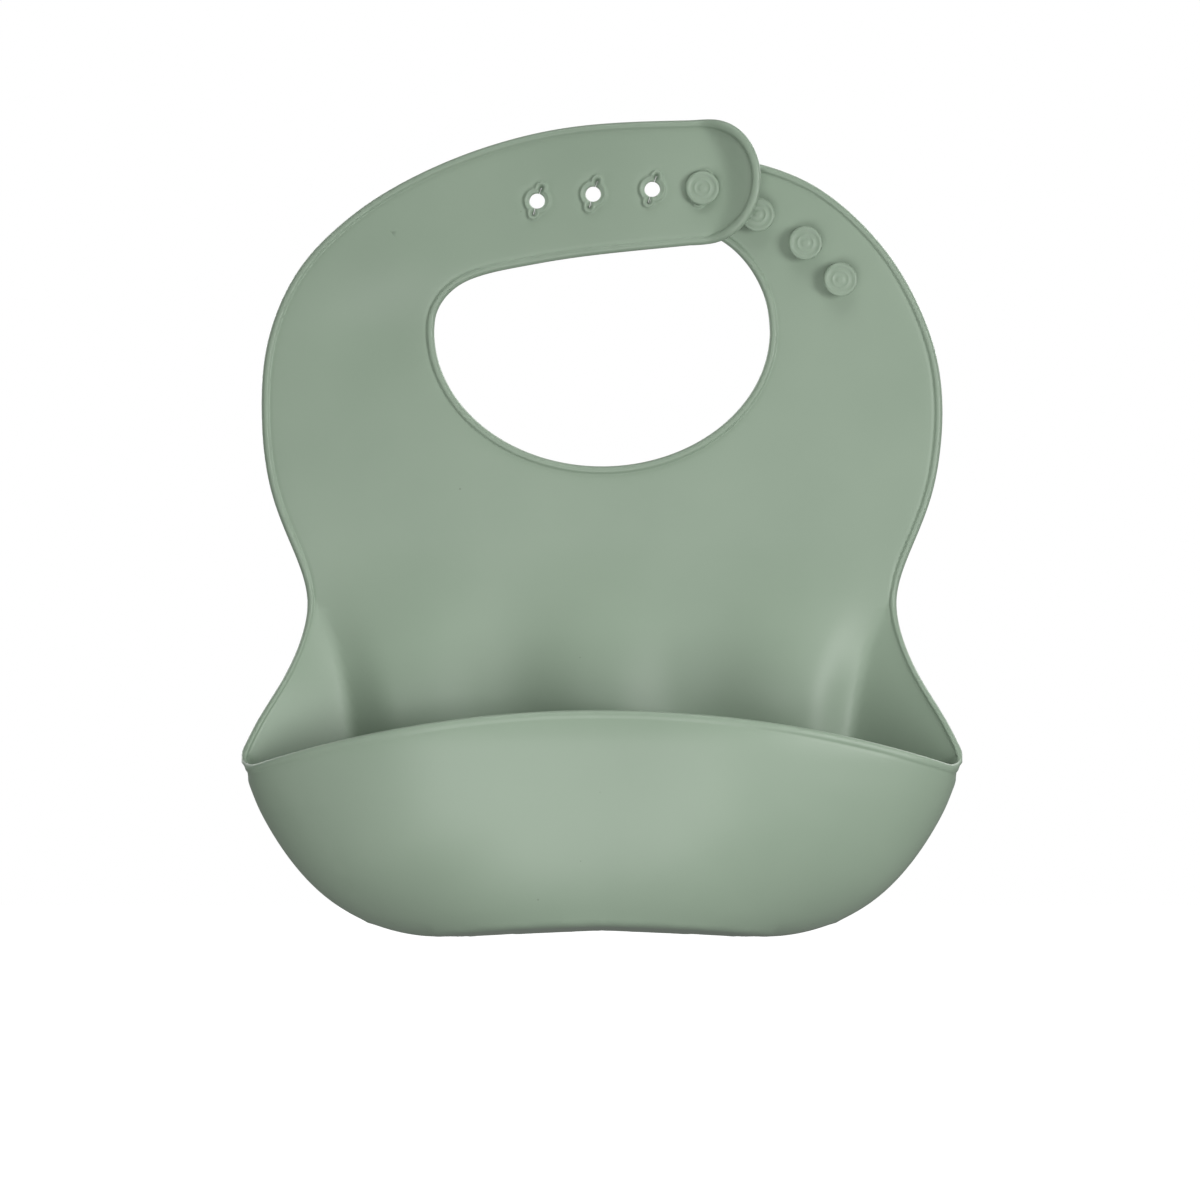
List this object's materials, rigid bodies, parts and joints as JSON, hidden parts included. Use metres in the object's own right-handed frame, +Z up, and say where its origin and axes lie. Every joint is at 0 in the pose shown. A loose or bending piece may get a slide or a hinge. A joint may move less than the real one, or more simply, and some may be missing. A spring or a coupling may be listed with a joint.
{
  "type": "silicone bib",
  "caption": "Baby bib moulded in silicone: flat chest sheet, deep catch pocket and a neck loop closed by studs through keyholes.",
  "frame": {"origin": "on the centre line at the shoulder flex line, in the plane of the sheet's back, inside the neck opening", "axes": "+Z up as worn, +X to the right seen from the front, front faces -Y"},
  "size_m": [0.2212, 0.049, 0.2501],
  "materials": {
    "silicone": "matte silicone with a soft sheen"
  },
  "bodies": {
    "chest": {"chest_panel": "silicone", "neck_rim_bead": "silicone", "chest_left_edge_bead": "silicone", "chest_right_edge_bead": "silicone"},
    "neck_loop": {"left_shoulder": "silicone", "left_shoulder_bead": "silicone", "right_strap": "silicone", "right_strap_bead": "silicone", "stud_1": "silicone", "stud_2": "silicone", "stud_3": "silicone", "stud_4": "silicone"},
    "left_strap": {"left_strap": "silicone", "left_strap_bead": "silicone", "keyhole_collar_1": "silicone", "keyhole_collar_2": "silicone", "keyhole_collar_3": "silicone", "keyhole_collar_4": "silicone"},
    "pocket": {"pocket_back_panel": "silicone", "pocket_floor": "silicone", "left_gusset": "silicone", "right_gusset": "silicone"},
    "pocket_front": {"pocket_front_wall": "silicone", "pocket_lip": "silicone"}
  },
  "joints": [
    {"name": "neck_loop_fold", "type": "hinge", "parent": "chest", "child": "neck_loop", "pos_m": [0, -0.0008, 0], "axis": [-1, 0, 0], "range_deg": [-45, 85], "stiffness_Nm_per_rad": 0.3},
    {"name": "left_strap_open", "type": "hinge", "parent": "neck_loop", "child": "left_strap", "pos_m": [-0.031, -0.0008, 0], "axis": [0, 0, -1], "range_deg": [0, 95], "stiffness_Nm_per_rad": 0.05, "deforming": ["stud_1"]},
    {"name": "waist_fold", "type": "hinge", "parent": "chest", "child": "pocket", "pos_m": [0, -0.0008, -0.075], "axis": [-1, 0, 0], "range_deg": [-20, 75], "stiffness_Nm_per_rad": 0.6},
    {"name": "pocket_front_open", "type": "hinge", "parent": "pocket", "child": "pocket_front", "pos_m": [0, -0.017, -0.1772], "axis": [1, 0, 0], "range_deg": [-12, 18], "stiffness_Nm_per_rad": 0.3, "deforming": ["left_gusset", "right_gusset"]}
  ]
}
